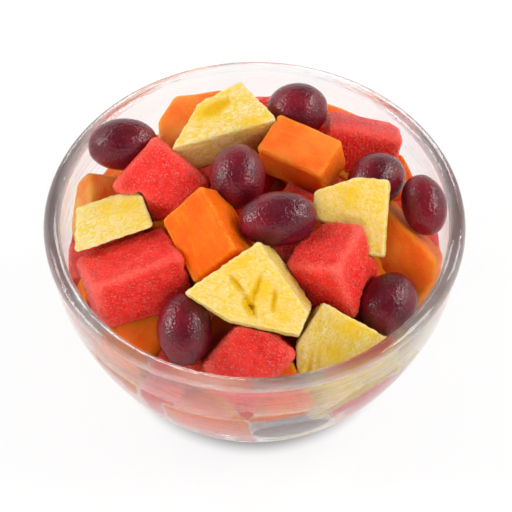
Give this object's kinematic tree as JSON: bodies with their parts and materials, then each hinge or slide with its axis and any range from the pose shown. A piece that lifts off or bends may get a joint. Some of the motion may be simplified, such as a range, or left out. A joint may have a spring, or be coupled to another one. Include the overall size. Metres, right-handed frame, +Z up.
{
  "type": "fruit salad in a glass bowl",
  "caption": "Round clear glass bowl heaped with hand-cut watermelon, papaya and pineapple chunks and whole dark red grapes; rests on its flat foot.",
  "frame": {"origin": "middle of the bowl's foot, on the surface it stands on", "axes": "+Z up; the front, where a grape lies low against the glass, faces -Y; +X is to the right seen from the front"},
  "size_m": [0.15, 0.15, 0.098],
  "materials": {
    "bowl_glass": "clear polished glass",
    "grape_skin": "smooth dark red skin with a thin dull bloom",
    "watermelon_flesh": "wet, grainy cut flesh",
    "papaya_flesh": "wet, smooth cut flesh",
    "pineapple_flesh": "wet, fibrous cut flesh",
    "mixed_fruit": "wet cut fruit of the same kinds, seen through the glass"
  },
  "bodies": {
    "root": {"bowl": "bowl_glass", "grape_left": "grape_skin", "grape_back": "grape_skin", "grape_middle": "grape_skin", "grape_top": "grape_skin", "grape_right_inner": "grape_skin", "grape_right_outer": "grape_skin", "grape_right_front": "grape_skin", "grape_front": "grape_skin", "grape_low_front": "grape_skin", "pineapple_back": "pineapple_flesh", "pineapple_right": "pineapple_flesh", "pineapple_left": "pineapple_flesh", "pineapple_front": "pineapple_flesh", "pineapple_front_right": "pineapple_flesh", "papaya_middle": "papaya_flesh", "papaya_centre": "papaya_flesh", "papaya_right": "papaya_flesh", "papaya_back": "papaya_flesh", "papaya_left": "papaya_flesh", "papaya_front_left": "papaya_flesh", "papaya_low_front": "papaya_flesh", "papaya_back_right": "papaya_flesh", "papaya_right_low": "papaya_flesh", "watermelon_left": "watermelon_flesh", "watermelon_front_left": "watermelon_flesh", "watermelon_right": "watermelon_flesh", "watermelon_front": "watermelon_flesh", "watermelon_back_right": "watermelon_flesh", "watermelon_back": "watermelon_flesh", "watermelon_low_right": "watermelon_flesh", "lower_fruit": "mixed_fruit"}
  },
  "joints": []
}
